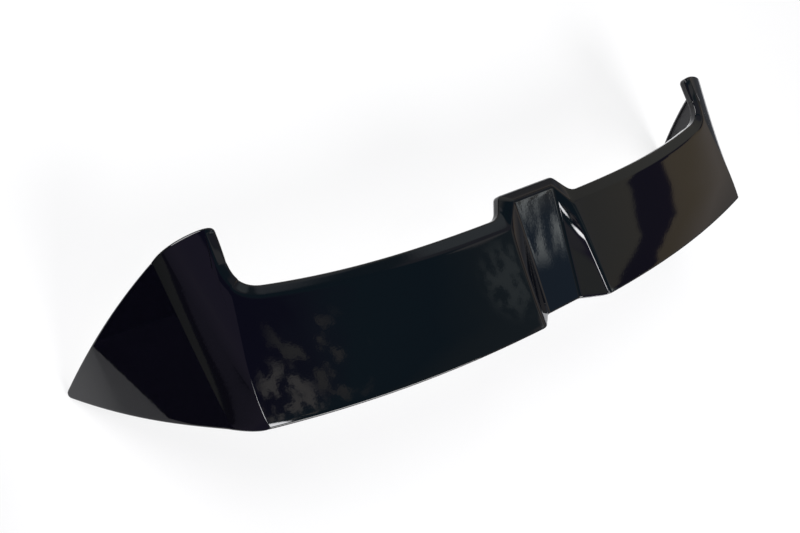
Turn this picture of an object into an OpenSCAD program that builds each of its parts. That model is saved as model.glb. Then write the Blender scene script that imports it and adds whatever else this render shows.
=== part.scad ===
// Roof spoiler for a hatchback: one moulded shell, open underneath.
// Lengths are in millimetres, +Y points to the front of the car and +Z up.
// The form is laid out from the middle of the line between the two trailing
// corners, and moved at the end so that the bonding land is at the origin.

/* [Roof panel] */
// Distance between the two trailing corners
panel_w = 950; // [900:5:1000]
// Height of the crown at the middle above the trailing corners
crown_h = 20.7; // [14:0.1:27]
// How far the middle of the trailing edge bows to the rear
rear_bow = 43; // [30:1:55]
// Depth of the panel from the trailing corners to its front crease at the middle
panel_d = 96.5; // [88:0.5:105]
// How far the front crease sweeps forward at the sides
front_sweep = 46; // [38:1:54]
// Angle by which the panel rises to the front
panel_pitch = 2.4; // [1:0.1:4]

/* [Front band] */
// Width of the bevelled band along the front edge
band_w = 17.5; // [14:0.5:21]
// How much narrower the band is at the sides
band_taper = 3.5; // [1:0.5:5]
// Drop of the band from the crease to the front edge
band_drop = 3.5; // [2:0.5:6]

/* [Trough] */
// Width of the trough between its top edges
trough_w = 130; // [118:1:145]
// Width of the trough floor
floor_w = 75; // [66:1:84]
// Depth of the trough at the trailing edge
trough_depth = 23.5; // [18:0.5:28]
// How far the floor's trailing edge is set forward of the panel's
floor_set = 11.5; // [6:0.5:16]
// How far the nose reaches forward of the panel's front crease
nose_reach = 33; // [26:1:40]
// How far the nose's outer corners stand out beyond the floor
nose_flare = 15; // [12:0.5:18]
// Width of the bevelled band on the nose
nose_band_w = 13.5; // [11:0.5:16]
// Drop of the nose band
nose_drop = 8.5; // [6:0.5:11]

/* [Tips] */
// How far the crease of the cut-out lies inward of the trailing corner
cutout_in = 24; // [20:1:28]
// Length over which the front crease curves round into the cut-out
cutout_curve = 40; // [32:1:46]
// Distance forward at which the shoulder's crease meets the cut-out
cutout_y = 157; // [150:1:164]
// Distance of the tip forward of the trailing corner
tip_y = 220; // [208:1:232]
// Share of the shoulder's bend that lies inward of the tip
tip_share = 0.15; // [0.12:0.01:0.18]
// Width of the band at the tip as a share of its width at the cut-out
tip_band = 0.75; // [0.6:0.05:0.9]

/* [End plates] */
// Height of an end plate below the trailing corner
plate_drop = 204; // [175:1:225]
// Outward flare of the plates from the vertical
plate_flare = 27.7; // [24:0.1:31]
// Outward toe of the plates from rear to front
plate_toe = 7.6; // [5:0.1:10]
// Distance of the lower corner forward of the trailing corner
plate_sweep = 110; // [100:1:120]
// Width of the plate across its rounded lower end
plate_end = 11; // [9:0.5:14]
// How far the plate's rear edge bows to the rear
rear_edge_bow = 52; // [40:1:60]
// How far the plate's front edge bows to the front
front_edge_bow = 16; // [8:1:24]
// Size of the bend between panel and plate at the trailing corner
bend_rear = 7.5; // [6:0.5:12]
// How much that bend would grow over its whole length
bend_growth = 57; // [48:1:62]
// Length over which the bend would grow by that much
bend_len = 240; // [230:1:260]
// How far the shoulder's front edge falls back from the tip to the plate
shoulder_back = 19.5; // [14:0.5:25]

/* [Wall] */
// Wall thickness of the moulding
wall = 3; // [2.4:0.1:3.4]
// Radius of the outer edges
edge_r = 4; // [3.8:0.1:5]
// Depth of the turned-down flange along the front edge
front_lip = 10; // [8:0.5:14]
// Depth of the turned-down lip along the trailing edge
rear_lip = 12; // [9:0.5:15]
// Depth of the bead round the end plates
plate_lip = 6.5; // [6:0.5:9]

/* [Bonding land] */
// Width of the land under the trough floor
land_w = 54; // [40:1:58]
// Length of the land along the floor
land_l = 90; // [60:1:110]
// How far the land stands below the wall
land_h = 1.5; // [1:0.1:3]

/* [Hidden] */

half_w = panel_w / 2;
trough_x = trough_w / 2;
floor_half = floor_w / 2;

// Powers of the curves of the trailing edge, the front crease, the cut-out, the
// shoulder's front edge and the plate's rear edge
rear_power = 2.4;
sweep_power = 3;
tip_power = 1.6;
shoulder_power = 1.5;
plate_power = 1.4;
// The trailing edge's curve would reach the corners' line this far past them
rear_over = 8;
// The plates stand this far outside the trailing corners
plate_out = 3;
// Length of a front strip where there is no band
edge_run = 2.5;
// Length of the trailing edge that belongs to the turn into the cut-out
rear_curve = 14;
// Where, and over what width, the edges change from a lip to the plates' bead
turn_start = half_w - 20;
turn_len = 60;

// Counts of rows from rear to front, and of columns in each stretch of a side
main_rows = 6;
panel_cols = 8;
curve_cols = 4;
tip_cols = 4;
bend_cols = 9;
plate_cols = 7;
corner_steps = 4;
edge_steps = 3;

function unit(a) = a / norm(a);
function lerp(a, b, t) = a * (1 - t) + b * t;
function clamp(t) = max(0, min(1, t));
function eased(t) = let (u = clamp(t)) u * u * (3 - 2 * u);
function bezier(a, b, c, t) = (1 - t) * (1 - t) * a + 2 * t * (1 - t) * b + t * t * c;

// Height of the crowned panel, and the plan lines of its edges
function panel_z(x, y) = crown_h * (1 - pow(x / half_w, 2)) + y * tan(panel_pitch);
function rear_y(x) = -rear_bow * (1 - pow(x / (half_w + rear_over), rear_power));
function crease_y(x) = panel_d + front_sweep * pow(x / half_w, sweep_power);
function on_panel(x, y, drop = 0) = [x, y, panel_z(x, y) - drop];
function band_at(x) = band_w - band_taper * pow(x / half_w, sweep_power) - edge_r;

// Place on an end plate's plane, and the line where that plane meets the panel's
function plate_point(y, z) =
    [half_w + plate_out + y * tan(plate_toe) - z * tan(plate_flare), y, z];
function ridge(y) = plate_point(y, y * tan(panel_pitch));

// The bend between panel and plate: a curve with t = 0 on the panel and 1 on the
// plate, whose size grows to the front, so that the shoulder is a kind of cone
function bend(y, t) = let (
        size = bend_rear + bend_growth * eased(y / bend_len),
        inward = unit([-1, 0, 2 * crown_h / half_w]),
        down = [sin(plate_flare), 0, -cos(plate_flare)])
    bezier(ridge(y) + inward * size, ridge(y), ridge(y) + down * size, t);

// A station is a line from the trailing edge to the front crease, as a function of
// v from 0 to 1, with the point beyond it on the front edge. The cuts say how far
// the section's corner is rounded at those three places.
function station(line, edge, cuts = [0, 0, 0]) = [line, edge, cuts];
function straight(a, b) = function (v) lerp(a, b, v);
function point_on(s, v) = let (line = s[0]) v <= 1 ? line(v) : lerp(line(1), s[1], v - 1);
function cut_on(s, v) = let (c = s[2]) v <= 1 ? lerp(c[0], c[1], v) : lerp(c[1], c[2], v - 1);

// The trough floor is a straight ramp from its trailing edge up to the nose
floor_rear_y = floor_set - rear_bow + edge_r;
floor_z = panel_z(0, -rear_bow) - trough_depth;
nose_y = panel_d + nose_reach;
nose_z = panel_z(0, panel_d);
floor_slope = atan2(nose_z - floor_z, nose_y - floor_rear_y);

function floor_station(rear_x, crease_x, edge_x, cuts = [0, 0, 0]) =
    station(straight([rear_x, floor_rear_y, floor_z], [crease_x, nose_y, nose_z]),
            [edge_x, nose_y + nose_band_w - edge_r, nose_z - nose_drop],
            cuts);

function panel_station(rear_x, crease_x, edge_x, cuts = [0, 0, 0]) =
    station(straight(on_panel(rear_x, rear_y(rear_x) + edge_r),
                     on_panel(crease_x, crease_y(crease_x))),
            on_panel(edge_x, crease_y(edge_x) + band_at(edge_x), band_drop),
            cuts);

// The front crease turns into the cut-out along a curve through this corner
cut_corner = [half_w - cutout_in, crease_y(half_w - cutout_in)];
curve_start_x = cut_corner.x - cutout_curve;
curve_start = [curve_start_x, crease_y(curve_start_x)];
cut_crease = bend(cutout_y, 0);
curve_end = [cut_crease.x, cut_crease.y];
panel_end_x = bend(0, 0).x;
rear_curve_x = panel_end_x - rear_curve;

// The lines of these stations lean over to the line where the bend starts
rear_inset = rear_y(panel_end_x) + edge_r;
function lean(v) = bend(lerp(rear_inset, cutout_y, v), 0).x - lerp(panel_end_x, curve_end.x, v);

function curve_station(t) = let (
        p = bezier(curve_start, cut_corner, curve_end, t),
        ahead = unit(lerp(cut_corner - curve_start, curve_end - cut_corner, t)),
        edge = p + [-ahead.y, ahead.x] * band_at(p.x),
        rear_x = lerp(rear_curve_x, panel_end_x, t),
        rear_at = rear_y(rear_x) + edge_r)
    station(function (v) on_panel(lerp(rear_x, p.x, v) + t * lean(v), lerp(rear_at, p.y, v)),
            on_panel(edge.x, edge.y, band_drop));

// Inward of the tip the bend's lines end at the cut-out, outward of it at the
// front edge of the shoulder
tip_front = tip_y - edge_r - edge_run;
function bend_front_y(t) = t <= tip_share
    ? lerp(cutout_y, tip_front, pow(t / tip_share, tip_power))
    : tip_front - shoulder_back * pow((t - tip_share) / (1 - tip_share), shoulder_power);

function bend_line(t) = let (front = bend_front_y(t))
    function (v) bend(lerp(rear_inset, front, v), t);

// The band turns from the cut-out's direction to the tip's
cut_facing = [-0.97, 0.24, 0];
tip_facing = [-0.8, 0.3, 0];
function cut_station(share, cuts = [0, 0, 0]) = let (
        line = bend_line(tip_share * share),
        width = band_at(half_w) * lerp(1, tip_band, share),
        drop = band_drop * lerp(1, 0.5, share))
    station(line, line(1) + lerp(cut_facing, tip_facing, share) * width - [0, 0, drop], cuts);

function bend_station(t) = let (line = bend_line(t)) station(line, line(1) + [0, edge_run, 0]);

// The plate narrows to its lower corner between two bowed edges
plate_rear_top = bend(rear_inset, 1);
plate_front_top = bend(bend_front_y(1), 1);
plate_low_z = edge_r - plate_drop;
plate_low_rear = [0, plate_sweep + edge_r, plate_low_z];
plate_low_front = [0, plate_sweep + plate_end - edge_r, plate_low_z];
function plate_station(t) = let (
        rear = lerp(plate_rear_top, plate_low_rear, t),
        rear_edge_y = rear.y - rear_edge_bow * pow(t, plate_power) * (1 - t),
        front = lerp(plate_front_top, plate_low_front, t),
        front_edge_y = front.y + front_edge_bow * t * (1 - t))
    station(straight(plate_point(rear_edge_y, rear.z), plate_point(front_edge_y, front.z)),
            plate_point(front_edge_y + edge_run, front.z));

// The trough wall stands between these two, with one more station half way
floor_side = floor_station(floor_half - 3, floor_half + 2, floor_half + nose_flare, [6, 3, 4]);
panel_side = panel_station(trough_x + 2, trough_x - 1, trough_x + 8, [6, 6, 13]);
wall_middle = station(function (v) (point_on(floor_side, v) + point_on(panel_side, v)) / 2,
                      (point_on(floor_side, 2) + point_on(panel_side, 2)) / 2);

stations = [
    floor_station(0, 0, 0),
    floor_side,
    wall_middle,
    panel_side,
    for (i = [1:panel_cols]) let (t = i / (panel_cols + 1))
        panel_station(lerp(point_on(panel_side, 0).x, rear_curve_x, t),
                      lerp(point_on(panel_side, 1).x, curve_start_x, t),
                      lerp(point_on(panel_side, 2).x, curve_start_x - 2, t)),
    for (i = [0:curve_cols]) curve_station(i / curve_cols),
    for (i = [1:tip_cols - 1]) cut_station(i / tip_cols),
    cut_station(1, [0.5, 4, 4]),
    for (i = [1:bend_cols]) bend_station(lerp(tip_share, 1, i / bend_cols)),
    for (i = [1:plate_cols]) plate_station(i / plate_cols)];

// A path with its corners rounded: cuts[i] is taken off both sides of corner i
function rounded(path, cuts) = [
    for (i = [0:len(path) - 1])
        each cuts[i] == 0 ? [path[i]] :
            let (before = path[i - 1] - path[i],
                 after = path[i + 1] - path[i],
                 a = path[i] + unit(before) * min(cuts[i], 0.9 * norm(before)),
                 c = path[i] + unit(after) * min(cuts[i], 0.9 * norm(after)))
            [for (k = [0:corner_steps]) bezier(a, path[i], c, k / corner_steps)]];

function half_row(v) = rounded([for (s = stations) point_on(s, v)],
                               [for (s = stations) cut_on(s, v)]);
function mirrored(row) = [
    for (i = [len(row) - 1:-1:1]) [-row[i].x, row[i].y, row[i].z],
    each row];

rows = [for (j = [0:main_rows]) j / main_rows, 2];
grid = [for (v = rows) mirrored(half_row(v))];
nu = len(grid[0]);
nv = len(grid);

function normal_at(j, i) = unit(cross(
    grid[j][min(i + 1, nu - 1)] - grid[j][max(i - 1, 0)],
    grid[min(j + 1, nv - 1)][i] - grid[max(j - 1, 0)][i]));

// The rim runs round the grid: trailing edge, right plate, front edge, left plate
rim = [
    for (i = [0:nu - 1]) [0, i],
    for (j = [1:nv - 1]) [j, nu - 1],
    for (i = [nu - 2:-1:0]) [nv - 1, i],
    for (j = [nv - 2:-1:1]) [j, 0]];
nr = len(rim);
function rim_at(k) = let (r = rim[(k + nr) % nr]) grid[r[0]][r[1]];

// Share of the turn from a lip that points down to one square to the plate
function turn_at(p) = clamp((abs(p.x) - turn_start) / turn_len);

// Section of the rim at one place: a rounded edge and a lip, as [point, normal]
function rim_profile(k) = let (
        p = rim_at(k),
        r = rim[k],
        n = normal_at(r[0], r[1]),
        along = unit(rim_at(k + 1) - rim_at(k - 1)),
        out = unit(cross(along, n)),
        turn = turn_at(p),
        down = unit(lerp([0, 0, -1], -n, turn)),
        depth = lerp(r[0] == 0 ? rear_lip : front_lip, plate_lip, turn),
        knee = p + out * edge_r,
        foot = knee + down * edge_r,
        last = knee + down * depth)
    [for (s = [1:edge_steps])
        let (t = s / edge_steps, heading = unit(lerp(out, down, t)))
        [bezier(p, knee, foot, t), unit(cross(heading, along))],
     [last, unit(cross(down, along))]];

profiles = [for (k = [0:nr - 1]) rim_profile(k)];
np = len(profiles[0]);

outer_points = [
    for (j = [0:nv - 1], i = [0:nu - 1]) grid[j][i],
    for (k = [0:nr - 1], s = [0:np - 1]) profiles[k][s][0]];
inner_points = [
    for (j = [0:nv - 1], i = [0:nu - 1]) grid[j][i] - wall * normal_at(j, i),
    for (k = [0:nr - 1], s = [0:np - 1]) profiles[k][s][0] - wall * profiles[k][s][1]];

function grid_id(j, i) = j * nu + i;
function rim_id(k, s) = let (q = (k + nr) % nr)
    s < 0 ? grid_id(rim[q][0], rim[q][1]) : nu * nv + q * np + s;
function quad(a, b, c, d, turned = false) = turned ? [[a, b, d], [b, c, d]] : [[a, b, c], [a, c, d]];

// The diagonals of the left half mirror those of the right
outer_faces = [
    for (j = [0:nv - 2], i = [0:nu - 2])
        each quad(grid_id(j, i), grid_id(j + 1, i), grid_id(j + 1, i + 1), grid_id(j, i + 1),
                  i < (nu - 1) / 2),
    for (k = [0:nr - 1], s = [-1:np - 2])
        each quad(rim_id(k, s), rim_id(k + 1, s), rim_id(k + 1, s + 1), rim_id(k, s + 1))];

// The moulding: its outer skin, the same skin one wall inward, and the lips' ends
module shell() {
    inward = len(outer_points);
    last = np - 1;
    polyhedron(
        points = concat(outer_points, inner_points),
        faces = [
            each outer_faces,
            for (f = outer_faces) [f[2] + inward, f[1] + inward, f[0] + inward],
            for (k = [0:nr - 1])
                each quad(rim_id(k, last), rim_id(k + 1, last),
                          rim_id(k + 1, last) + inward, rim_id(k, last) + inward)]);
}

// Flat land under the trough floor, where the spoiler is bonded to the tailgate
land_y = (floor_rear_y + nose_y) / 2;
land_z = (floor_z + nose_z) / 2;
land_drop = wall + land_h;

module land() {
    translate([-land_w / 2, -land_l / 2, -land_drop])
        cube([land_w, land_l, land_drop - wall / 2]);
}

module spoiler() {
    color([0.02, 0.02, 0.025])
        translate([0, 0, land_drop])
            rotate([-floor_slope, 0, 0])
                translate([0, -land_y, -land_z])
                    union() {
                        shell();
                        translate([0, land_y, land_z])
                            rotate([floor_slope, 0, 0])
                                land();
                    }
}

spoiler();
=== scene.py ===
import bmesh
import bpy
import numpy as np
from mathutils import Matrix, Vector


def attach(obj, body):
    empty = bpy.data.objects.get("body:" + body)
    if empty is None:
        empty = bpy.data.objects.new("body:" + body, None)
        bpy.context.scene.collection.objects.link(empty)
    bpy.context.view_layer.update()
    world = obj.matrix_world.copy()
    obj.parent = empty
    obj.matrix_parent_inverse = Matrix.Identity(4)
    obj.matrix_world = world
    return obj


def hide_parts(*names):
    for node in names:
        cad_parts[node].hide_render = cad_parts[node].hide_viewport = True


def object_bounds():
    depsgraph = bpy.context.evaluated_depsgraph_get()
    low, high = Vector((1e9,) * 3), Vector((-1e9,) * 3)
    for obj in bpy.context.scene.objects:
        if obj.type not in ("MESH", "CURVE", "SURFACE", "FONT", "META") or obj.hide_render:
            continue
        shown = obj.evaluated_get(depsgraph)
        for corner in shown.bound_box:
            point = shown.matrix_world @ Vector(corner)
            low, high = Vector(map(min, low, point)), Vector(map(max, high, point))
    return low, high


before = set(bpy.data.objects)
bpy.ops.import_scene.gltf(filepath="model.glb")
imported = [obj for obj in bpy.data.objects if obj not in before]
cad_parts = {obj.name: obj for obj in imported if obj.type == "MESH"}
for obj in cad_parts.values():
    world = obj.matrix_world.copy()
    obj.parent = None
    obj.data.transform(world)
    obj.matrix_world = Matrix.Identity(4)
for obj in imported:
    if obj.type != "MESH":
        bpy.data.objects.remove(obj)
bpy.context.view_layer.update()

# The roof panel, the largest face of the one-piece moulding. It is drawn in
# millimetres from the middle of the line between the two trailing corners,
# crowned across the car and rising a little to the front.
HALF_WIDTH = 475.0
CROWN = 20.7
PITCH = np.tan(np.radians(2.4))
PANEL_DEPTH = 96.5
FRONT_SWEEP = 46.0
REAR_BOW = 43.0
REAR_BOW_POWER = 2.4
REAR_OVER = 8.0
EDGE_RADIUS = 2.5


def place(x, y, z):
    """Points from three arrays or numbers that fit together."""
    return np.stack(np.broadcast_arrays(x, y, z), axis=-1).astype(float)


def on_panel(x, y):
    """The crowned panel: a parabola across the car, plus a straight rise to the front."""
    return place(x, y, CROWN * (1 - (x / HALF_WIDTH) ** 2) + y * PITCH)


def trailing_y(x):
    """The trailing edge in plan: a power curve, furthest to the rear at the middle."""
    return -REAR_BOW * (1 - (x / (HALF_WIDTH + REAR_OVER)) ** REAR_BOW_POWER)


def crease_y(x):
    """The front crease in plan: a cubic that sweeps forward at the sides."""
    return PANEL_DEPTH + FRONT_SWEEP * (x / HALF_WIDTH) ** 3


def steps(n):
    """n even steps from 0 up to, but not at, 1, so that one stretch joins the next."""
    return np.linspace(0, 1, n, endpoint=False)


def rows_to_end(n):
    """n even steps that start beyond 0 and end at 1, one to a row."""
    return np.linspace(0, 1, n + 1)[1:, None]


def line(a, b, t):
    """Straight from a to b."""
    return a + (b - a) * np.asarray(t)[..., None]


def bezier(a, b, c, t):
    """The quadratic curve from a to c whose tangents meet at b."""
    t = np.asarray(t)[..., None]
    return (1 - t) ** 2 * a + 2 * t * (1 - t) * b + t**2 * c


def unit(a):
    """Vectors at length one."""
    return a / np.maximum(np.linalg.norm(a, axis=-1, keepdims=True), 1e-9)


# The trough and the nose at the middle. The floor is a straight ramp from the
# trailing edge up to the nose, and its walls splay out to the panels. Each of the
# face's three rails, at the rear, the crease and the front, turns two corners here.
FLOOR_HALF_REAR = 34.5
FLOOR_HALF_CREASE = 39.5
FLOOR_HALF_FRONT = 52.5
TOP_HALF_REAR = 67.0
TOP_HALF_CREASE = 64.0
TOP_HALF_FRONT = 73.0
TOP_CUT = 6.0
TOP_CUT_FRONT = 13.0
TROUGH_DEPTH = 23.5
FLOOR_SET = 11.5
NOSE_REACH = 33.0
NOSE_BAND = 13.5
NOSE_DROP = 8.5
BAND = 17.5
BAND_TAPER = 3.5
BAND_DROP = 3.5
FLOOR_COLUMNS = 8
FOOT_COLUMNS = 12
WALL_COLUMNS = 12
TOP_COLUMNS = 14

floor_y = FLOOR_SET - REAR_BOW + EDGE_RADIUS
floor_z = CROWN - REAR_BOW * PITCH - TROUGH_DEPTH
nose_y = PANEL_DEPTH + NOSE_REACH
nose_z = CROWN + PANEL_DEPTH * PITCH


def band_width(x):
    """The bevelled band along the front narrows to the sides as a cubic. The rounded
    edge beyond it isn't counted."""
    return BAND - BAND_TAPER * (x / HALF_WIDTH) ** 3 - EDGE_RADIUS


def rear_rail(x):
    """The panel's rear boundary at x, inside its rounded trailing edge."""
    return on_panel(x, trailing_y(x) + EDGE_RADIUS)


def crease_rail(x):
    """The panel's front crease at x."""
    return on_panel(x, crease_y(x))


def front_rail(x):
    """The band's front boundary at x, a little below the panel's surface."""
    return on_panel(x, crease_y(x) + band_width(x)) - [0, 0, BAND_DROP]


def round_trough(rail, floor_corner, top_half, foot_cut, top_cut):
    """A rail from the middle of the floor round the floor's corner, up the wall and
    round the panel's corner. Quadratic curves cut off both corners."""
    floor_corner = np.array(floor_corner)
    top = rail(np.array(top_half))
    up = unit(top - floor_corner)
    floor_end = floor_corner - [foot_cut, 0, 0]
    wall_foot = floor_corner + up * foot_cut
    wall_head = top - up * top_cut
    return np.concatenate([
        line(floor_corner * [0, 1, 1], floor_end, steps(FLOOR_COLUMNS)),
        bezier(floor_end, floor_corner, wall_foot, steps(FOOT_COLUMNS)),
        line(wall_foot, wall_head, steps(WALL_COLUMNS)),
        bezier(wall_head, top, rail(np.array(top_half + top_cut)), steps(TOP_COLUMNS))])


rear_trough = round_trough(rear_rail, [FLOOR_HALF_REAR, floor_y, floor_z],
                           TOP_HALF_REAR, foot_cut=6, top_cut=TOP_CUT)
crease_trough = round_trough(crease_rail, [FLOOR_HALF_CREASE, nose_y, nose_z],
                             TOP_HALF_CREASE, foot_cut=4, top_cut=TOP_CUT)
front_trough = round_trough(front_rail, [FLOOR_HALF_FRONT, nose_y + NOSE_BAND - EDGE_RADIUS,
                                         nose_z - NOSE_DROP],
                            TOP_HALF_FRONT, foot_cut=5, top_cut=TOP_CUT_FRONT)

# The bend between panel and end plate, one soft fold of the moulding. On the panel
# its size grows to the front, so that the shoulder is a kind of cone, and on the
# plate it shrinks. The plate is flat, flares out below and toes out to the front.
PLATE_OUT = 3.0
PLATE_FLARE = np.radians(27.7)
PLATE_TOE = np.tan(np.radians(7.6))
BEND_REAR = 11.0
BEND_GROWTH = 43.0
BEND_LENGTH = 220.0
BEND_LOW = 37.0
BEND_LOW_LOSS = 13.0
BEND_LOW_LENGTH = 200.0
FOLD_IN = 3.0
FOLD_DOWN = 8.0
PANEL_SPAN = 400.0
MEETING_SPAN = 120.0
BEND_SPAN = 100.0

bend_in = unit(np.array([-1, 0, 2 * CROWN / HALF_WIDTH]))
bend_down = np.array([np.sin(PLATE_FLARE), 0, -np.cos(PLATE_FLARE)])
plate_normal = unit(np.array([1, -PLATE_TOE, np.tan(PLATE_FLARE)]))


def smooth(t):
    """The smooth step from 0 to 1, three squares less two cubes, level beyond both."""
    t = np.clip(t, 0, 1)
    return t**2 * (3 - 2 * t)


def on_plate(y, z):
    """An end plate: a plane that flares out below and toes out to the front."""
    return place(HALF_WIDTH + PLATE_OUT + y * PLATE_TOE - z * np.tan(PLATE_FLARE), y, z)


def bend(y, t):
    """Place on the bend at depth y, from 0 on the panel to 1 on the plate: a quadratic
    about the corner where both would meet. Its knee lies a little inside that corner and
    below it. Its size on the panel is a smooth step to the front, and that on the plate
    falls evenly, as the knee's drop does."""
    y = np.asarray(y, float)
    corner = on_plate(y, y * PITCH)
    left_over = 1 - y / BEND_LOW_LENGTH
    upper = BEND_REAR + BEND_GROWTH * smooth(y / BEND_LENGTH)
    lower = BEND_LOW - BEND_LOW_LOSS * y / BEND_LOW_LENGTH
    knee = corner - plate_normal * FOLD_IN + bend_down * FOLD_DOWN * left_over[..., None]
    return bezier(corner + bend_in * upper[..., None], knee,
                  corner + bend_down * lower[..., None], t)


def across(x, y):
    """How far across the face x lies at depth y, in equal parts: from -PANEL_SPAN at the
    middle to 0 where the bend starts, and on to BEND_SPAN at the plate. On the bend, its
    quadratic in x is solved for the share."""
    start, middle, end = (bend(y, t)[..., 0] for t in (0, 0.5, 1))
    first = 2 * middle - (start + end) / 2 - start
    curved = end - start - 2 * first
    past = x - start
    share = (np.sqrt(np.maximum(first**2 + curved * past, 0)) - first) / curved
    return np.where(past < 0, PANEL_SPAN * past / start, BEND_SPAN * share)


def on_face(a, y):
    """Place on panel or bend at depth y, with a as across gives it. Near the bend, the
    panel's curve is moved up or down by a smooth step to meet it."""
    edge = bend(y, np.zeros_like(y))
    panel = on_panel(edge[..., 0] * (1 + np.minimum(a, 0) / PANEL_SPAN), y)
    rise = edge[..., 2] - on_panel(edge[..., 0], y)[..., 2]
    panel[..., 2] += rise * smooth(1 + a / MEETING_SPAN)
    return np.where((a < 0)[..., None], panel, bend(y, np.maximum(a, 0) / BEND_SPAN))


def face_normal(a, y):
    """Square to the face, from its slopes a little way across and to the front."""
    here = on_face(a, y)
    return unit(np.cross(on_face(a + 1, y) - here, on_face(a, y + 1) - here))


# The cut-outs and tips. The crease turns forward beside each cut-out and runs up the
# tip. The tip's corner is rounded, and the shoulder's front edge falls back from it.
TURN_START = 415.0
TURN_CORNER = (457.0, 136.0)
TURN_END = (457.5, 178.0)
TIP_Y = 220.0
TIP_ACROSS = 6.5
TIP_ROUND = 3.0
SHOULDER_BACK = 14.0
SHOULDER_POWER = 1.5
EDGE_RUN = 2.5
PANEL_COLUMNS = 70
TURN_COLUMNS = 60
SIDE_COLUMNS = 24
TIP_COLUMNS = 24
SHOULDER_COLUMNS = 70

tip_front = TIP_Y - EDGE_RADIUS - EDGE_RUN
panel_x = np.linspace(TOP_HALF_CREASE + TOP_CUT, TURN_START, PANEL_COLUMNS, endpoint=False)
turn = bezier(np.array([TURN_START, crease_y(TURN_START)]), np.array(TURN_CORNER),
              np.array(TURN_END), steps(TURN_COLUMNS))
plan_x = np.concatenate([panel_x, turn[:, 0]])
plan_y = np.concatenate([crease_y(panel_x), turn[:, 1]])
side_end = np.array([across(*TURN_END), TURN_END[1]])
tip_in = np.array([TIP_ACROSS, tip_front - TIP_ROUND])
tip_out = np.array([TIP_ACROSS + TIP_ROUND, tip_front])
outer = steps(SHOULDER_COLUMNS)
shoulder = np.stack([tip_out[0] + (BEND_SPAN - tip_out[0]) * outer,
                     tip_front - SHOULDER_BACK * outer**SHOULDER_POWER], axis=1)
path_across, path_depth = np.concatenate([
    np.stack([across(plan_x, plan_y), plan_y], axis=1),
    line(side_end, tip_in, steps(SIDE_COLUMNS)),
    bezier(tip_in, np.array([TIP_ACROSS, tip_front]), tip_out, steps(TIP_COLUMNS)),
    shoulder]).T

# The end plates, flat triangles that narrow to a rounded lower corner between two
# bowed edges. They are moulded in one with the panel, below the bend.
PLATE_DROP = 204.0
PLATE_SWEEP = 110.0
PLATE_END = 11.0
REAR_EDGE_BOW = 52.0
REAR_EDGE_POWER = 1.4
FRONT_EDGE_TOP = 205.0
FRONT_EDGE_BOW = 30.0
CORNER_REACH = 3.0
REAR_TURN = 423.0
REAR_TURN_COLUMNS = 60
EDGE_COLUMNS = 60
CORNER_COLUMNS = 10

low_z = EDGE_RADIUS - PLATE_DROP
low_rear = PLATE_SWEEP + EDGE_RADIUS
low_front = PLATE_SWEEP + PLATE_END - EDGE_RADIUS
panel_end = bend(0, 0)[0]
rear_end_y = trailing_y(panel_end) + EDGE_RADIUS


def rear_edge_y(down):
    """The rear edge's depth at a share of the way down: a straight line less a bow, a
    power of the share times what is left of it."""
    return (rear_end_y + (low_rear - rear_end_y) * down
            - REAR_EDGE_BOW * down**REAR_EDGE_POWER * (1 - down))


def front_edge_y(down):
    """The front edge's depth at a share of the way down: a line plus a parabola."""
    return (FRONT_EDGE_TOP + (low_front - FRONT_EDGE_TOP) * down
            + FRONT_EDGE_BOW * down * (1 - down))


def plate_edge(edge_y, first_share, start_z, corner):
    """An edge of the plate from the bend down to the lower corner, and half way round
    that corner by a quadratic through three points."""
    down = steps(EDGE_COLUMNS)
    upper = place(0, edge_y(first_share + (1 - first_share) * down),
                  start_z + (low_z - start_z) * down)
    rounded = bezier(*corner, np.linspace(0, 0.5, CORNER_COLUMNS))
    edge = np.concatenate([upper, rounded])
    return on_plate(edge[:, 1], edge[:, 2])


low_ends = place(0, np.array([low_rear, low_front]), low_z)
low_corner = low_ends.mean(axis=0) - [0, 0, CORNER_REACH]
bend_share = BEND_LOW * np.cos(PLATE_FLARE) / -low_z
rear_start_z = bend(rear_edge_y(bend_share), 1)[2]
front_start_z = bend(tip_front - SHOULDER_BACK, 1)[2]
plate_rear = plate_edge(rear_edge_y, bend_share, rear_start_z,
                        [low_ends[0], low_corner, low_ends[1]])
plate_front = plate_edge(front_edge_y, front_start_z / low_z, front_start_z,
                         [low_ends[1], low_corner, low_ends[0]])

rear_x = np.concatenate([
    np.linspace(TOP_HALF_REAR + TOP_CUT, REAR_TURN, PANEL_COLUMNS, endpoint=False),
    np.linspace(REAR_TURN, panel_end, REAR_TURN_COLUMNS)])
bend_count = len(path_depth) - len(rear_x)
bent = np.arange(1, bend_count + 1) / (bend_count + 1)
rear_across = np.append(across(rear_x, trailing_y(rear_x) + EDGE_RADIUS), BEND_SPAN * bent)
rear_depth = np.append(trailing_y(rear_x) + EDGE_RADIUS, rear_edge_y(bend_share * bent**2))

# The rails of the right half, from the middle over the panel and the bend to the
# plate's lower corner. The front one is the crease moved out by the band's width, which
# turns the tip's corner and fades out down the plate.
TIP_BAND = 0.85
TIP_SQUARENESS = 0.45
NOSE_JOIN = 20

trough_count = len(rear_trough)
path_count = len(path_depth)
on_path = slice(trough_count, trough_count + path_count)
rear_line = np.concatenate([rear_trough, on_face(rear_across, rear_depth), plate_rear])
crease_line = np.concatenate([crease_trough, on_face(path_across, path_depth), plate_front])

outer_crease = crease_line[trough_count:]
crease_normal = np.concatenate([face_normal(path_across, path_depth),
                                np.tile(plate_normal, (len(plate_front), 1))])
crease_along = unit(np.gradient(outer_crease, axis=0))
crease_out = unit(np.cross(crease_normal, crease_along))

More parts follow.
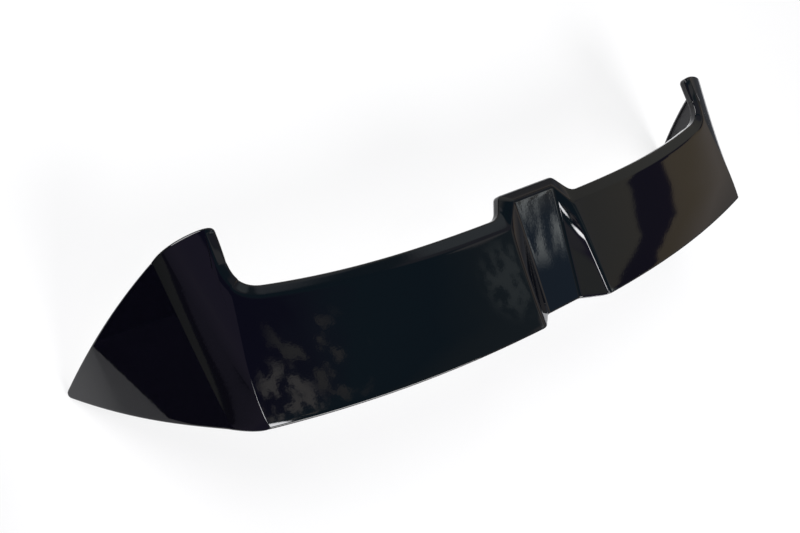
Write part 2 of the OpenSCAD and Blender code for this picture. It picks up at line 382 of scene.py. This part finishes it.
turn_count = len(plan_x)
side = slice(turn_count, turn_count + SIDE_COLUMNS)
tip = slice(side.stop, side.stop + TIP_COLUMNS)
run = np.full(len(outer_crease), EDGE_RUN)
run[:turn_count] = band_width(plan_x)
run[side] = band_width(HALF_WIDTH) * (1 + (TIP_BAND - 1) * steps(SIDE_COLUMNS))
drop = np.zeros(len(outer_crease))
drop[:tip.start] = BAND_DROP
drop[tip] = BAND_DROP * (1 - steps(TIP_COLUMNS))
fade = np.ones(len(outer_crease))
fade[-len(plate_front):-CORNER_COLUMNS] = 1 - steps(EDGE_COLUMNS)
fade[-CORNER_COLUMNS:] = 0

swing = np.radians(90) * steps(TIP_COLUMNS)[:, None]
beside_tip = crease_out[tip.start] * run[side][-1]
ahead_of_tip = crease_out[tip.stop] * EDGE_RUN
band_shift = crease_out * run[:, None]
band_shift[tip] = (beside_tip * np.cos(swing) ** TIP_SQUARENESS
                   + ahead_of_tip * np.sin(swing) ** TIP_SQUARENESS)
band_edge = outer_crease + band_shift * fade[:, None] - crease_normal * drop[:, None]

joined = steps(NOSE_JOIN)
late_by = TOP_HALF_FRONT + TOP_CUT_FRONT - panel_x[0]
late = front_rail(panel_x[:NOSE_JOIN] + late_by * (1 - joined) ** 2)
band_edge[:NOSE_JOIN] += (late - band_edge[:NOSE_JOIN]) * (1 - joined[:, None] ** 2)
front_line = np.concatenate([front_trough, band_edge])

# The face between the rails. The crease is a soft corner, sharper beside the tip and
# round it, and the left half mirrors the right.
CREASE_CUT = 4.0
CREASE_BAND_PART = 0.4
TIP_CUT_PART = 0.4
MOST_CUT = 0.3
MAIN_ROWS = 33
CREASE_ROWS = 7
BAND_ROWS = 4


def both_sides(right):
    """Rows of the right half, after their mirror image. The middle column comes once."""
    return np.concatenate([right[:, :0:-1] * [-1, 1, 1], right], axis=1)


band = front_line - crease_line
cut = np.minimum(CREASE_CUT, CREASE_BAND_PART * np.linalg.norm(band, axis=1))
outer_cut = cut[trough_count:]
outer_cut[side] *= 1 + (TIP_CUT_PART - 1) * steps(SIDE_COLUMNS)
outer_cut[tip] = np.minimum(outer_cut[tip], TIP_CUT_PART * CREASE_CUT)

row_share = np.linspace(0, 1, MAIN_ROWS)[:, None]
main_length = np.linalg.norm(crease_line - rear_line, axis=1)
main_part = 1 - np.minimum(cut / np.maximum(main_length, 1), MOST_CUT)
main = line(rear_line, crease_line, row_share * main_part)
inner = crease_line[on_path] - crease_out[:path_count] * cut[on_path, None]
inner_across = across(inner[:, 0], inner[:, 1])
main_across = rear_across + (inner_across - rear_across) * row_share
main_depth = rear_depth + (inner[:, 1] - rear_depth) * row_share
main[:, on_path] = on_face(main_across, main_depth)

soft_crease = bezier(main[-1], crease_line, crease_line + unit(band) * cut[:, None],
                     rows_to_end(CREASE_ROWS))
band_face = line(soft_crease[-1], front_line, rows_to_end(BAND_ROWS))
half = np.concatenate([main, soft_crease, band_face])

main_normal = face_normal(main_across, main_depth)
band_normal = unit(np.cross(crease_along[:path_count], band[on_path]))
band_normal *= np.sign(np.sum(band_normal * crease_normal[:path_count], axis=1))[:, None]
half_normal = unit(np.cross(np.gradient(half, axis=1), np.gradient(half, axis=0)))
half_normal[:, -CORNER_COLUMNS:] = plate_normal
half_normal[:, on_path] = np.concatenate([
    main_normal,
    unit(line(main_normal[-1], band_normal, rows_to_end(CREASE_ROWS))),
    np.tile(band_normal, (BAND_ROWS, 1, 1))])
face = both_sides(half)
normal = both_sides(half_normal)

# The rolled edge and the lip behind it, all round. It is a turned-down flange at
# the front and the rear, and a low bead square to the plate round the end plates.
# The wall behind the face is of one thickness.
FRONT_LIP = 10.0
REAR_LIP = 12.0
PLATE_LIP = 6.5
LIP_TURN_START = 455.0
LIP_TURN = 60.0
WALL = 3.0
INNER_ARC_PART = 0.3
ARC_ROWS = 9
LIP_ROWS = 3

columns = face.shape[1]
loop = np.concatenate([face[0], face[-1, -2:0:-1]])
loop_along = unit(np.roll(loop, -1, axis=0) - np.roll(loop, 1, axis=0))
rear_along = loop_along[:columns]
front_along = np.concatenate([loop_along[:1], loop_along[:columns - 2:-1]])


def rolled_edge(edge, along, edge_normal, lip):
    """Rows over a rounded edge and down the lip, outside and inside the wall: each is a
    quadratic about the edge's knee, then a straight line down."""
    out = unit(np.cross(along, edge_normal))
    turned = np.clip((np.abs(edge[:, :1]) - LIP_TURN_START) / LIP_TURN, 0, 1)
    down = unit(np.array([0, 0, -1]) * (1 - turned) - edge_normal * turned)
    depth = lip * (1 - turned) + PLATE_LIP * turned
    knee = edge + out * EDGE_RADIUS
    rounded = bezier(edge, knee, knee + down * EDGE_RADIUS, rows_to_end(ARC_ROWS))
    lip_end = knee + down * depth
    inner_knee = edge - edge_normal * WALL + out * (EDGE_RADIUS - WALL)
    inner_end = edge + out * (EDGE_RADIUS - WALL) + down * depth
    arc_end = line(inner_knee, inner_end, INNER_ARC_PART)
    inner_arc = bezier(edge - edge_normal * WALL, inner_knee, arc_end, rows_to_end(ARC_ROWS))
    return (np.concatenate([rounded, line(rounded[-1], lip_end, rows_to_end(LIP_ROWS))]),
            np.concatenate([inner_arc, line(arc_end, inner_end, rows_to_end(LIP_ROWS))]))


rear_outside, rear_inside = rolled_edge(face[0], rear_along, normal[0], REAR_LIP)
front_outside, front_inside = rolled_edge(face[-1], front_along, normal[-1], FRONT_LIP)
outside = np.concatenate([rear_outside[::-1], face, front_outside])
inside = np.concatenate([rear_inside[::-1], face - normal * WALL, front_inside])

index = np.arange(outside.shape[0] * columns).reshape(-1, columns)
back = index + index.size
cells = np.stack([index[:-1, :-1], index[:-1, 1:], index[1:, 1:], index[1:, :-1]],
                 axis=-1).reshape(-1, 4)
back_cells = cells[:, ::-1] + index.size
rear_close = np.stack([index[0, 1:], index[0, :-1], back[0, :-1], back[0, 1:]], axis=-1)
front_close = np.stack([index[-1, :-1], index[-1, 1:], back[-1, 1:], back[-1, :-1]], axis=-1)

# The bonding land under the trough floor, a flat pad moulded with the wall, by
# which the spoiler sits on the tailgate. The frame's origin is at its middle.
LAND_HALF_WIDTH = 27.0
LAND_HALF_LENGTH = 45.0
LAND_HEIGHT = 1.5
LAND_EDGE = 0.6

slope = np.arctan2(nose_z - floor_z, nose_y - floor_y)
land_middle = np.array([0, (floor_y + nose_y) / 2, (floor_z + nose_z) / 2])
to_level = np.array([[1, 0, 0],
                     [0, np.cos(slope), np.sin(slope)],
                     [0, -np.sin(slope), np.cos(slope)]])


def on_land(points):
    """Points of the layout in the frame: level with the land, from its lower face."""
    return (points - land_middle) @ to_level.T + [0, 0, WALL + LAND_HEIGHT]


skins = on_land(np.concatenate([outside.reshape(-1, 3), inside.reshape(-1, 3)]))

corner_x = np.array([-1, 1, 1, -1])
corner_y = np.array([-1, -1, 1, 1])
land = np.concatenate([
    place(corner_x * (LAND_HALF_WIDTH - LAND_EDGE), corner_y * (LAND_HALF_LENGTH - LAND_EDGE), 0),
    place(corner_x * LAND_HALF_WIDTH, corner_y * LAND_HALF_LENGTH, LAND_EDGE),
    place(corner_x * LAND_HALF_WIDTH, corner_y * LAND_HALF_LENGTH, LAND_HEIGHT + WALL / 2)])
first = len(skins)
ring = np.arange(4)
following = (ring + 1) % 4
land_faces = [[first + 3, first + 2, first + 1, first]]
for level in (first, first + 4):
    land_faces += np.stack([level + ring, level + following,
                            level + 4 + following, level + 4 + ring], axis=-1).tolist()

# The finished moulding in place of the frame's plain solid: the two skins closed along
# their edges, with the land let into the wall.
MILLIMETRE = 0.001
MERGE_WITHIN = 2e-6
SHORTEST_EDGE = 1e-6
COAT_SLOT = 0
BARE_SLOT = 1

mesh = bpy.data.meshes.new("spoiler_moulding")
points = np.concatenate([skins, land]) * MILLIMETRE
mesh.from_pydata(points.tolist(), [], cells.tolist() + back_cells.tolist()
                 + front_close.tolist() + rear_close.tolist() + land_faces)
slots = np.full(len(mesh.polygons), COAT_SLOT)
slots[len(cells):2 * len(cells)] = BARE_SLOT
slots[-len(land_faces):] = BARE_SLOT
mesh.polygons.foreach_set("material_index", slots)
work = bmesh.new()
work.from_mesh(mesh)
bmesh.ops.remove_doubles(work, verts=work.verts, dist=MERGE_WITHIN)
bmesh.ops.dissolve_degenerate(work, edges=work.edges, dist=SHORTEST_EDGE)
work.to_mesh(mesh)
work.free()
mesh.shade_smooth()
moulding = bpy.data.objects.new("spoiler_moulding", mesh)
bpy.context.collection.objects.link(moulding)
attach(moulding, "root")
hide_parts("spoiler")

# The coat on the face: piano black paint under clear lacquer, with the faint
# orange peel of a sprayed finish.
COAT_BLACK = (0.0015, 0.0015, 0.003)
LACQUER_IOR = 1.5


def add_node(tree, kind, inputs, **settings):
    """A node of a tree, with its inputs linked from sockets or set to values."""
    node = tree.nodes.new(kind)
    for key, value in settings.items():
        setattr(node, key, value)
    for key, value in inputs.items():
        if isinstance(value, bpy.types.NodeSocket):
            tree.links.new(value, node.inputs[key])
        else:
            node.inputs[key].default_value = value
    return node


def one_colour(name, colour, roughness):
    """A material of one colour, and its shader."""
    material = bpy.data.materials.new(name)
    material.use_nodes = True
    shader = material.node_tree.nodes["Principled BSDF"]
    shader.inputs["Base Color"].default_value = (*colour, 1)
    shader.inputs["Roughness"].default_value = roughness
    return material, shader


def grained(name, colour, roughness, grains_per_metre, strength, depth):
    """A material of one colour whose surface has a fine uneven grain, and its shader."""
    material, shader = one_colour(name, colour, roughness)
    tree = material.node_tree
    where = add_node(tree, "ShaderNodeTexCoord", {})
    grain = add_node(tree, "ShaderNodeTexNoise", {"Vector": where.outputs["Object"],
                                                  "Scale": grains_per_metre})
    bump = add_node(tree, "ShaderNodeBump", {"Height": grain.outputs["Fac"],
                                             "Strength": strength, "Distance": depth})
    tree.links.new(bump.outputs["Normal"], shader.inputs["Normal"])
    return material, shader


coat, coat_shader = grained("piano_black_coat", COAT_BLACK, roughness=0.03,
                            grains_per_metre=260, strength=0.01, depth=0.001)
coat_shader.inputs["IOR"].default_value = LACQUER_IOR
moulding.data.materials.append(coat)

# The back of the moulding: bare black plastic with the fine grain of the tool.
BARE_BLACK = (0.018, 0.018, 0.02)
BARE_SHEEN = 0.3

bare, bare_shader = grained("bare_black_plastic", BARE_BLACK, roughness=0.5,
                            grains_per_metre=900, strength=0.15, depth=0.0002)
bare_shader.inputs["Specular IOR Level"].default_value = BARE_SHEEN
moulding.data.materials.append(bare)

# The camera, at the photograph's place: behind the car, to the left and above. In the
# moulding's own layout, its view is turned from +X towards +Y by the heading, then
# tilted up and rolled to the left.
CAMERA_PLACE = np.array([-782.3, 83.5, 809.9])
CAMERA_HEADING = np.radians(2.23)
CAMERA_TILT = np.radians(-55.83)
CAMERA_ROLL = np.radians(65.33)

ahead = np.array([np.cos(CAMERA_TILT) * np.cos(CAMERA_HEADING),
                  np.cos(CAMERA_TILT) * np.sin(CAMERA_HEADING), np.sin(CAMERA_TILT)])
level_right = np.array([np.sin(CAMERA_HEADING), -np.cos(CAMERA_HEADING), 0])
right = (level_right * np.cos(CAMERA_ROLL)
         + np.cross(level_right, ahead) * np.sin(CAMERA_ROLL))
view_axes = np.stack([right, np.cross(right, ahead), -ahead], axis=1)
camera_data = bpy.data.cameras.new("camera")
camera_data.sensor_width = 36
camera_data.lens = 36
camera = bpy.data.objects.new("camera", camera_data)
bpy.context.collection.objects.link(camera)
camera.matrix_world = (Matrix.Translation(Vector(on_land(CAMERA_PLACE) * MILLIMETRE))
                       @ Matrix((to_level @ view_axes).tolist()).to_4x4())
bpy.context.scene.camera = camera

# The floor, a plain pale sheet under the spoiler's lowest corners. The camera sees it
# washed out to white, as a lit product table is, with the shadow still on it.
FLOOR_SIZE = 3.2
FLOOR_GREY = (0.85, 0.85, 0.85)
MATT = 0.9
WASH = 0.7

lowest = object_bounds()[0][2]
half_floor = FLOOR_SIZE / 2
floor_mesh = bpy.data.meshes.new("floor")
floor_mesh.from_pydata([(-half_floor, -half_floor, lowest), (half_floor, -half_floor, lowest),
                        (half_floor, half_floor, lowest), (-half_floor, half_floor, lowest)],
                       [], [(0, 1, 2, 3)])
floor = bpy.data.objects.new("floor", floor_mesh)
bpy.context.collection.objects.link(floor)
pale, pale_shader = one_colour("pale_floor", FLOOR_GREY, MATT)
tree = pale.node_tree
to_camera = add_node(tree, "ShaderNodeLightPath", {})
wash = add_node(tree, "ShaderNodeMath", {0: to_camera.outputs["Is Camera Ray"], 1: WASH},
                operation="MULTIPLY")
white = add_node(tree, "ShaderNodeEmission", {})
washed = add_node(tree, "ShaderNodeMixShader", {"Fac": wash.outputs["Value"],
                                                1: pale_shader.outputs["BSDF"],
                                                2: white.outputs["Emission"]})
tree.links.new(washed.outputs["Shader"], tree.nodes["Material Output"].inputs["Surface"])
floor.data.materials.append(pale)

# A folded dark card stands on the floor to the left, out of view. The left end plate
# reflects it, apart from its lowest corner, which reflects the floor before it.
CARD_FOLDS = [(-1.3, -0.52), (-0.735, 0.055), (-0.80, 0.9)]
CARD_HEIGHT = 0.19
CARD_PURPLE = (0.006, 0.003, 0.03)

card_mesh = bpy.data.meshes.new("dark_card")
card_mesh.from_pydata([(x, y, z) for z in (lowest, lowest + CARD_HEIGHT) for x, y in CARD_FOLDS],
                      [], [(0, 1, 4, 3), (1, 2, 5, 4)])
card = bpy.data.objects.new("dark_card", card_mesh)
bpy.context.collection.objects.link(card)
card.visible_camera = False
card.data.materials.append(one_colour("dark_card", CARD_PURPLE, MATT)[0])

# The surroundings that the coat reflects. Two ramps of colour, by the height of a
# direction, give the room on the right and on the left of the car, with wavy edges
# between pale walls and dark ones.
RIGHT_RAMP = [
    (0.0, (0.16, 0.17, 0.19)), (0.15, (0.16, 0.17, 0.18)), (0.36, (0.45, 0.41, 0.37)),
    (0.42, (0.62, 0.54, 0.46)), (0.485, (0.50, 0.41, 0.27)), (0.512, (0.50, 0.41, 0.28)),
    (0.517, (0.06, 0.05, 0.085)), (0.583, (0.06, 0.055, 0.09)), (0.588, (0.37, 0.35, 0.28)),
    (0.66, (0.34, 0.34, 0.29)), (0.695, (0.38, 0.38, 0.36)), (0.71, (0.12, 0.18, 0.19)),
    (0.81, (0.10, 0.16, 0.17)), (0.87, (0.045, 0.12, 0.15)), (0.935, (0.05, 0.13, 0.16)),
    (0.955, (0.06, 0.09, 0.14)), (0.972, (0.036, 0.043, 0.095)), (0.993, (0.03, 0.03, 0.09))]
RIGHT_LEAN = 0.25
RIGHT_DIP = 1.8
RIGHT_DIP_SPAN = 0.03
LEFT_RAMP = [
    (0.0, (0.13, 0.15, 0.13)), (0.575, (0.20, 0.205, 0.185)), (0.60, (0.045, 0.045, 0.06)),
    (0.655, (0.035, 0.03, 0.045)), (0.675, (0.13, 0.12, 0.17)), (0.85, (0.19, 0.165, 0.25)),
    (0.95, (0.15, 0.13, 0.23))]
LEFT_LEAN = -2.35
LEFT_LEAN_END = 0.03
SEAM = (0.03, 0.07)
WAVE = 0.03
WAVE_SCALE = 22.0
FINE_DETAIL = 3.0

world = bpy.data.worlds.new("room")
bpy.context.scene.world = world
world.use_nodes = True
room = world.node_tree
direction = add_node(room, "ShaderNodeTexCoord", {}).outputs["Generated"]


def soft_step(value, low, high):
    """A smooth step of a socket between two values."""
    return add_node(room, "ShaderNodeMapRange",
                    {"Value": value, "From Min": low, "From Max": high},
                    interpolation_type="SMOOTHSTEP").outputs["Result"]


def mixed(factor, first, second):
    """Two colours mixed by a factor."""
    return add_node(room, "ShaderNodeMixRGB",
                    {"Fac": factor, "Color1": first, "Color2": second}).outputs["Color"]


def arithmetic(kind, *values):
    """The result of one step of arithmetic on sockets and numbers."""
    return add_node(room, "ShaderNodeMath", dict(enumerate(values)),
                    operation=kind).outputs["Value"]


def noise(stretch, scale):
    """Smooth noise over directions, stretched along the axes."""
    stretched = add_node(room, "ShaderNodeVectorMath", {0: direction, 1: stretch},
                         operation="MULTIPLY")
    return add_node(room, "ShaderNodeTexNoise", {"Vector": stretched.outputs["Vector"],
                                                 "Scale": scale,
                                                 "Detail": FINE_DETAIL}).outputs["Fac"]


def ramp_of(height, stops):
    """A colour ramp over a socket."""
    node = add_node(room, "ShaderNodeValToRGB", {"Fac": height})
    while len(node.color_ramp.elements) < len(stops):
        node.color_ramp.elements.new(0.5)
    for element, (position, colour) in zip(node.color_ramp.elements, stops):
        element.position = position
        element.color = (*colour, 1)
    return node.outputs["Color"]


axes = add_node(room, "ShaderNodeSeparateXYZ", {"Vector": direction})
sideways, forward, height = (axes.outputs[axis] for axis in "XYZ")
wave = arithmetic("MULTIPLY_ADD", noise((1, 1, 1), WAVE_SCALE), WAVE, -WAVE / 2)
just_behind = arithmetic("MAXIMUM", arithmetic("MINIMUM", forward, 0.0), -RIGHT_DIP_SPAN)
right_height = arithmetic("MULTIPLY_ADD", forward, RIGHT_LEAN, height)
right_height = arithmetic("MULTIPLY_ADD", just_behind, RIGHT_DIP, right_height)
left_height = arithmetic("MULTIPLY_ADD", arithmetic("MINIMUM", forward, LEFT_LEAN_END),
                         LEFT_LEAN, height)
sky = mixed(soft_step(sideways, *SEAM),
            ramp_of(arithmetic("ADD", left_height, wave), LEFT_RAMP),
            ramp_of(arithmetic("ADD", right_height, wave), RIGHT_RAMP))

# Soft round patches in the surroundings: pale walls, window panes and two small lamps.
# Each has its middle's azimuth from +X towards +Y and its elevation, then its core and
# its reach, all in degrees, and its colour.
PATCHES = [
    ((-19, 43), 6, 10, (0.12, 0.20, 0.28)),
    ((-160, 70), 6, 14, (0.36, 0.38, 0.34)),
    ((-110, 82), 5, 8, (0.34, 0.34, 0.36)),
    ((31, 44), 6, 9, (0.22, 0.24, 0.26)),
    ((38, 40), 3, 6, (0.45, 0.52, 0.54)),
    ((54, 43), 1, 5, (0.42, 0.48, 0.52)),
    ((64, 24), 10, 25, (0.50, 0.52, 0.48)),
    ((21, 44), 5, 8, (0.20, 0.21, 0.24)),
    ((23, 28), 6, 9, (0.38, 0.38, 0.33)),
    ((14, 51), 2, 4, (0.45, 0.46, 0.45)),
    ((-18, 78), 1, 2.2, (16.0, 16.0, 16.5)),
    ((5, 84), 1, 3, (20.0, 20.0, 20.5)),
]


def toward(azimuth, elevation):
    """The unit vector at an azimuth and an elevation in degrees."""
    azimuth, elevation = np.radians([azimuth, elevation])
    return (np.cos(elevation) * np.cos(azimuth), np.cos(elevation) * np.sin(azimuth),
            np.sin(elevation))


def round_patch(middle, core, reach):
    """A smooth step in the cosine of the angle to the middle, from reach to core."""
    facing = add_node(room, "ShaderNodeVectorMath", {0: direction, 1: toward(*middle)},
                      operation="DOT_PRODUCT")
    return soft_step(facing.outputs["Value"], np.cos(np.radians(reach)),
                     np.cos(np.radians(core)))


for middle, core, reach, colour in PATCHES:
    sky = mixed(round_patch(middle, core, reach), sky, (*colour, 1))

# Torn patches, where light comes in streaks and scraps. Each is a round patch times a
# step in noise: the noise's stretch, its scale and the step's ends stand between the
# patch's reach and its colour.
TORN_PATCHES = [
    ((-8, 45), 2.5, 5.0, (1, 1, 14), 9.0, (0.48, 0.54), (2.0, 2.15, 2.15)),
    ((0, 75.5), 2.0, 3.6, (1, 1, 1), 45.0, (0.48, 0.53), (0.70, 0.67, 0.63)),
    ((8, 71), 1.5, 5.0, (1, 1, 1), 30.0, (0.56, 0.60), (0.35, 0.35, 0.32)),
    ((3, 51), 1.0, 3.5, (1, 1, 1), 70.0, (0.45, 0.52), (0.36, 0.44, 0.44)),
]

for middle, core, reach, stretch, scale, ends, colour in TORN_PATCHES:
    torn = soft_step(noise(stretch, scale), *ends)
    torn_patch = arithmetic("MULTIPLY", round_patch(middle, core, reach), torn)
    sky = mixed(torn_patch, sky, (*colour, 1))

# The camera itself sees plain white beyond the floor.
seen = add_node(room, "ShaderNodeLightPath", {})
sky = mixed(seen.outputs["Is Camera Ray"], sky, (1, 1, 1, 1))
room.links.new(sky, room.nodes["Background"].inputs["Color"])

# Two broad soft lamps, ahead of the car and behind it, light the table evenly.
LAMPS = [("front_lamp", (-1.0, 2.0, 2.2)), ("rear_lamp", (0.5, -2.0, 2.2))]
LAMP_WATTS = 88
LAMP_SIZE = 2.0

for name, spot in LAMPS:
    lamp_data = bpy.data.lights.new(name, "AREA")
    lamp_data.shape = "DISK"
    lamp_data.size = LAMP_SIZE
    lamp_data.energy = LAMP_WATTS
    lamp = bpy.data.objects.new(name, lamp_data)
    lamp.visible_camera = False
    lamp.location = spot
    lamp.rotation_mode = "QUATERNION"
    lamp.rotation_quaternion = (-Vector(spot)).to_track_quat("-Z", "Y")
    bpy.context.collection.objects.link(lamp)

bpy.context.scene.view_settings.view_transform = "Standard"
